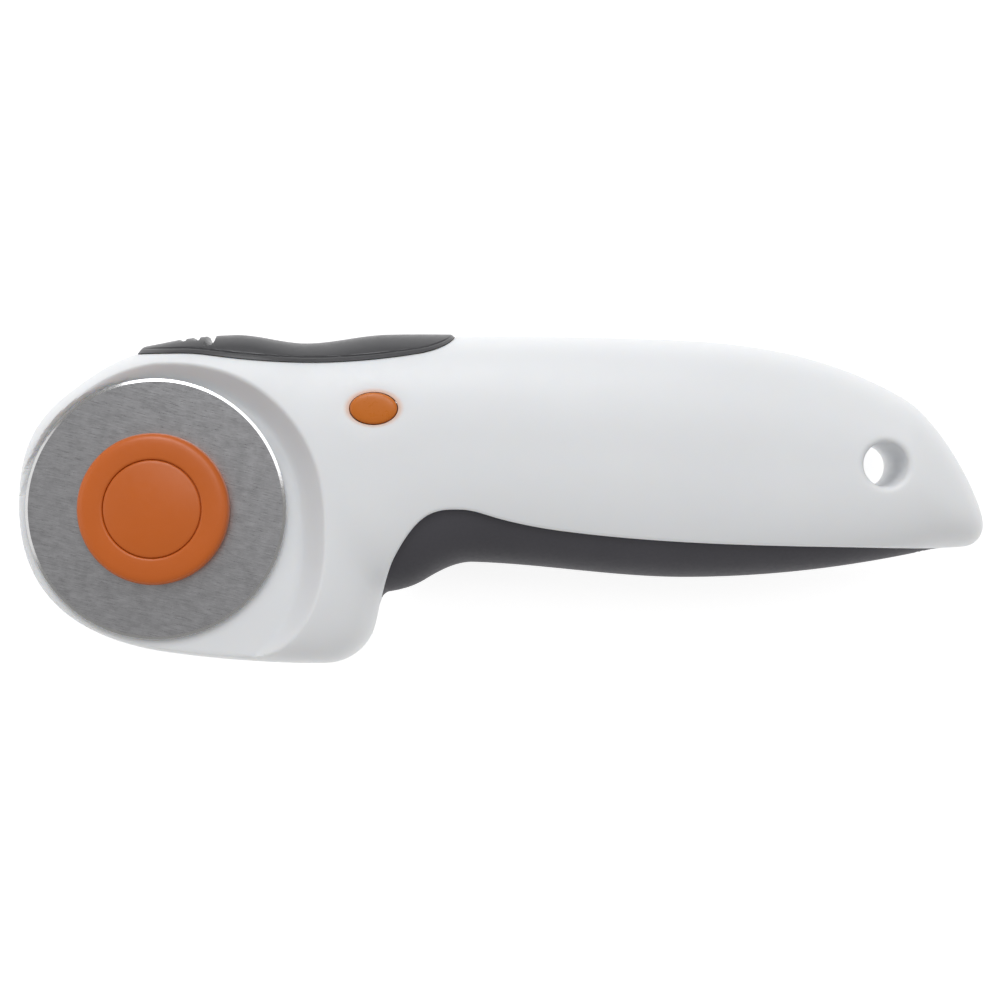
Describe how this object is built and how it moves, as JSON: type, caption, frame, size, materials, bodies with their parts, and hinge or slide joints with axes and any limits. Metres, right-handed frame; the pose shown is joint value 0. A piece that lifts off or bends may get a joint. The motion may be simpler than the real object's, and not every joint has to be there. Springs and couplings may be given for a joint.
{
  "type": "rotary cutter",
  "caption": "Handheld rotary cutter with a retracting round blade, thumb slider, quick-change blade hub, cross-bolt lock and soft grip.",
  "frame": {"origin": "centre of the bounding box in X and Y, on the flat back of the handle that the cutter lies on", "axes": "+X along the handle to its tail, +Y to the thumb slider's side, +Z out of the blade side"},
  "size_m": [0.1684, 0.0576, 0.0242],
  "materials": {
    "shell_white": "satin moulded ABS",
    "orange_plastic": "satin moulded plastic",
    "slider_grey": "fine moulded texture",
    "grip_rubber": "matt overmoulded rubber",
    "inner_plastic": "natural acetal",
    "blade_steel": "ground tungsten steel with a polished edge",
    "bright_steel": "turned steel",
    "screw_steel": "zinc-plated",
    "spring_steel": "spring wire"
  },
  "bodies": {
    "handle": {"front_shell": "shell_white", "rear_shell": "shell_white", "soft_grip": "grip_rubber", "shell_screws": "screw_steel", "guide_screws": "screw_steel", "guide_sleeves": "bright_steel", "detent_spring": "spring_steel", "lock_spring": "spring_steel"},
    "thumb_slider": {"slider_cap": "slider_grey", "slider_foot": "inner_plastic", "slider_screw": "screw_steel", "drive_pin": "bright_steel"},
    "blade_carrier": {"carrier_plate": "inner_plastic", "hub_post": "bright_steel", "hub_nut": "bright_steel"},
    "hub": {"hub_bushing": "inner_plastic", "latch_clip": "spring_steel", "button_spring": "spring_steel"},
    "blade_set": {"blade": "blade_steel", "blade_cap": "orange_plastic", "backing_washer": "bright_steel"},
    "release": {"release_button": "orange_plastic"},
    "lock_bolt": {"lock_button": "orange_plastic", "lock_rear_button": "orange_plastic"}
  },
  "joints": [
    {"name": "slider_move", "type": "hinge", "parent": "handle", "child": "thumb_slider", "pos_m": [-0.03335, 0.1367, 0.012], "axis": [0, 0, -1], "range_deg": [0, 4.06]},
    {"name": "blade_advance", "type": "slide", "parent": "handle", "child": "blade_carrier", "axis": [-0.5, -0.866, 0], "range_m": [0, 0.007]},
    {"name": "hub_lift", "type": "slide", "parent": "blade_carrier", "child": "hub", "axis": [0, 0, 1], "range_m": [0, 0.012]},
    {"name": "blade_spin", "type": "hinge", "parent": "hub", "child": "blade_set", "pos_m": [-0.05975, -0.00185, 0.0194], "axis": [0, 0, 1], "continuous": true},
    {"name": "button_press", "type": "slide", "parent": "hub", "child": "release", "axis": [0, 0, -1], "range_m": [0, 0.0012], "stiffness_N_per_m": 400, "springref_m": -0.0012, "deforming": ["button_spring"]},
    {"name": "lock_press", "type": "slide", "parent": "handle", "child": "lock_bolt", "axis": [0, 0, -1], "range_m": [0, 0.002]}
  ],
  "couplings": [
    {"joint": "blade_advance", "follows": "slider_move", "m_per_rad": 0.09887}
  ]
}
